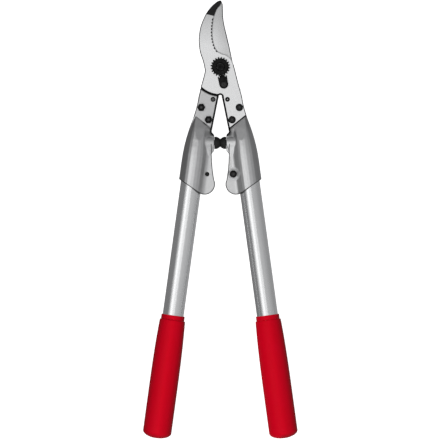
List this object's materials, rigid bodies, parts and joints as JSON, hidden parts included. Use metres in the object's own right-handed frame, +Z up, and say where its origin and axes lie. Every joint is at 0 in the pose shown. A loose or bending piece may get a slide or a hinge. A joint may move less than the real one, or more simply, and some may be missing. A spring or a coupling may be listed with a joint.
{
  "type": "lopper",
  "caption": "Two-handed bypass lopper with a hooked counter blade, a curved cutting blade, cast heads, round tube handles, red grips and rubber stops.",
  "frame": {"origin": "middle of the footprint at the height of the table that the lopper lies on", "axes": "+Y along the lopper towards the blade tips, +Z up through the pivot towards its nut, +X towards the handle of the hook side"},
  "size_m": [0.22, 0.6222, 0.0406],
  "materials": {
    "plate_steel": "ground and polished",
    "cast_aluminium": "bead blasted casting",
    "tube_aluminium": "satin anodised",
    "red_grip": "soft moulded",
    "black_rubber": "moulded",
    "black_steel": "black oxide"
  },
  "bodies": {
    "hook_side": {"hook_plate": "plate_steel", "pivot_bolt": "black_steel", "pivot_nut": "black_steel", "lock_segment": "black_steel", "lock_screw": "black_steel", "hook_head": "cast_aluminium", "hook_tube": "tube_aluminium", "hook_grip": "red_grip", "hook_buffer": "black_rubber", "hook_upper_bolt": "black_steel", "hook_upper_nut": "black_steel", "hook_lower_bolt": "black_steel", "hook_lower_nut": "black_steel", "hook_rivet": "black_steel", "hook_clamp_screw": "black_steel"},
    "blade_side": {"blade_plate": "plate_steel", "blade_head": "cast_aluminium", "blade_tube": "tube_aluminium", "blade_grip": "red_grip", "blade_buffer": "black_rubber", "blade_upper_bolt": "black_steel", "blade_upper_nut": "black_steel", "blade_lower_bolt": "black_steel", "blade_lower_nut": "black_steel", "blade_rivet": "black_steel", "blade_clamp_screw": "black_steel"}
  },
  "joints": [
    {"name": "pivot", "type": "hinge", "parent": "hook_side", "child": "blade_side", "pos_m": [0, 0.21706, 0.0203], "axis": [0, 0, -1], "range_deg": [0, 55]}
  ]
}
